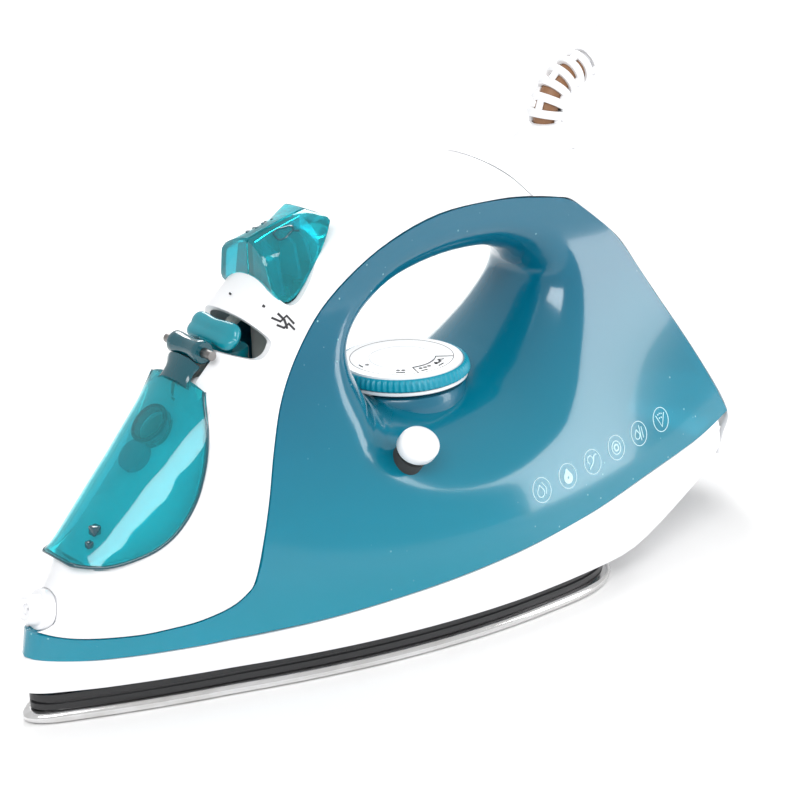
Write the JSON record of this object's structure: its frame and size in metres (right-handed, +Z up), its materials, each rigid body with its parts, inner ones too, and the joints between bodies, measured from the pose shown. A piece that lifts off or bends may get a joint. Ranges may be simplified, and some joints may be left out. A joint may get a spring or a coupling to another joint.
{
  "type": "steam iron",
  "caption": "Steam iron with clear water tank round the hand hole, pointed metal soleplate, fill door, thumb buttons, temperature dial and swivelling cord guard.",
  "frame": {"origin": "centre of the bounding box in plan, at the underside of the soleplate", "axes": "+Z up from the soleplate, -X to the nose, +X to the heel, Y across; the body is symmetric about Y=0"},
  "size_m": [0.3014, 0.1052, 0.1785],
  "materials": {
    "white_shell": "glossy",
    "dial_white": "satin",
    "polished_steel": "polished",
    "black_band": "satin",
    "cast_aluminium": "as cast",
    "dark_steel": "satin",
    "silicone_red": "matte",
    "teal_tank": "glossy",
    "clear_teal": "glossy",
    "teal_plastic": "glossy",
    "frosted_clear": "frosted",
    "spring_steel": "bright",
    "natural_nylon": "satin",
    "piston_rubber": "matte",
    "brown_phenolic": "matte"
  },
  "bodies": {
    "base": {"soleplate": "polished_steel", "heater_cover": "black_band", "steam_casting": "cast_aluminium", "heating_element": "dark_steel", "chamber_cover": "cast_aluminium", "chamber_gasket": "silicone_red", "skirt": "white_shell", "water_tank": "teal_tank", "top_shell": "white_shell", "rear_cover": "white_shell", "spray_nozzle": "white_shell", "nozzle_tip": "white_shell", "door_hinge_pin": "dark_steel", "fill_funnel": "white_shell", "valve_spring": "spring_steel", "valve_seat": "silicone_red", "pump_block": "natural_nylon", "spray_spring": "spring_steel", "burst_spring": "spring_steel", "spray_hose": "natural_nylon", "burst_tube": "natural_nylon", "dial_boss": "frosted_clear", "thermostat": "brown_phenolic", "thermal_fuse": "brown_phenolic", "self_clean_housing": "piston_rubber", "self_clean_spring": "spring_steel", "terminal_block": "natural_nylon", "mains_leads": "brown_phenolic", "cord_clamp": "piston_rubber", "swivel_socket": "white_shell", "casting_screws": "spring_steel", "skirt_screws": "spring_steel", "clamp_screws": "spring_steel", "rear_cover_screw": "spring_steel"},
    "steam_lever": {"steam_lever": "teal_plastic"},
    "valve_rod": {"valve_rod": "spring_steel"},
    "fill_door": {"fill_door": "clear_teal", "fill_plug": "teal_plastic"},
    "spray_button": {"spray_button": "clear_teal", "spray_piston": "piston_rubber"},
    "burst_button": {"burst_button": "clear_teal", "burst_piston": "piston_rubber"},
    "dial": {"dial_cap": "dial_white", "dial_ring": "teal_plastic", "dial_under_ring": "white_shell", "dial_shaft": "spring_steel"},
    "self_clean_button": {"self_clean_button": "white_shell"},
    "cord_swivel": {"swivel_ball": "white_shell", "cord_guard": "white_shell"}
  },
  "joints": [
    {"name": "temperature_dial", "type": "hinge", "parent": "base", "child": "dial", "pos_m": [0.003, 0, 0.078], "axis": [0, 0, 1], "range_deg": [0, 280]},
    {"name": "steam_lever", "type": "hinge", "parent": "base", "child": "steam_lever", "pos_m": [-0.066, 0, 0.1], "axis": [0, 0, 1], "range_deg": [0, 28]},
    {"name": "valve_lift", "type": "slide", "parent": "base", "child": "valve_rod", "axis": [0, 0, 1], "range_m": [0, 0.002], "deforming": ["valve_spring"]},
    {"name": "spray_button", "type": "slide", "parent": "base", "child": "spray_button", "axis": [0, 0, -1], "range_m": [0, 0.004], "stiffness_N_per_m": 800, "springref_m": -0.002, "deforming": ["spray_spring"]},
    {"name": "burst_button", "type": "slide", "parent": "base", "child": "burst_button", "axis": [0, 0, -1], "range_m": [0, 0.004], "stiffness_N_per_m": 800, "springref_m": -0.002, "deforming": ["burst_spring"]},
    {"name": "fill_door", "type": "hinge", "parent": "base", "child": "fill_door", "pos_m": [-0.081, 0, 0.106], "axis": [0, 1, 0], "range_deg": [0, 70]},
    {"name": "self_clean", "type": "slide", "parent": "base", "child": "self_clean_button", "axis": [0, 0.6691, -0.7431], "range_m": [0, 0.0025], "stiffness_N_per_m": 600, "springref_m": -0.002, "deforming": ["self_clean_spring"]},
    {"name": "cord_swivel", "type": "hinge", "parent": "base", "child": "cord_swivel", "pos_m": [0.068, 0, 0.14], "axis": [0, 0, 1], "range_deg": [-60, 60]}
  ],
  "couplings": [
    {"joint": "steam_lever", "follows": "valve_lift", "rad_per_m": 244.1}
  ]
}
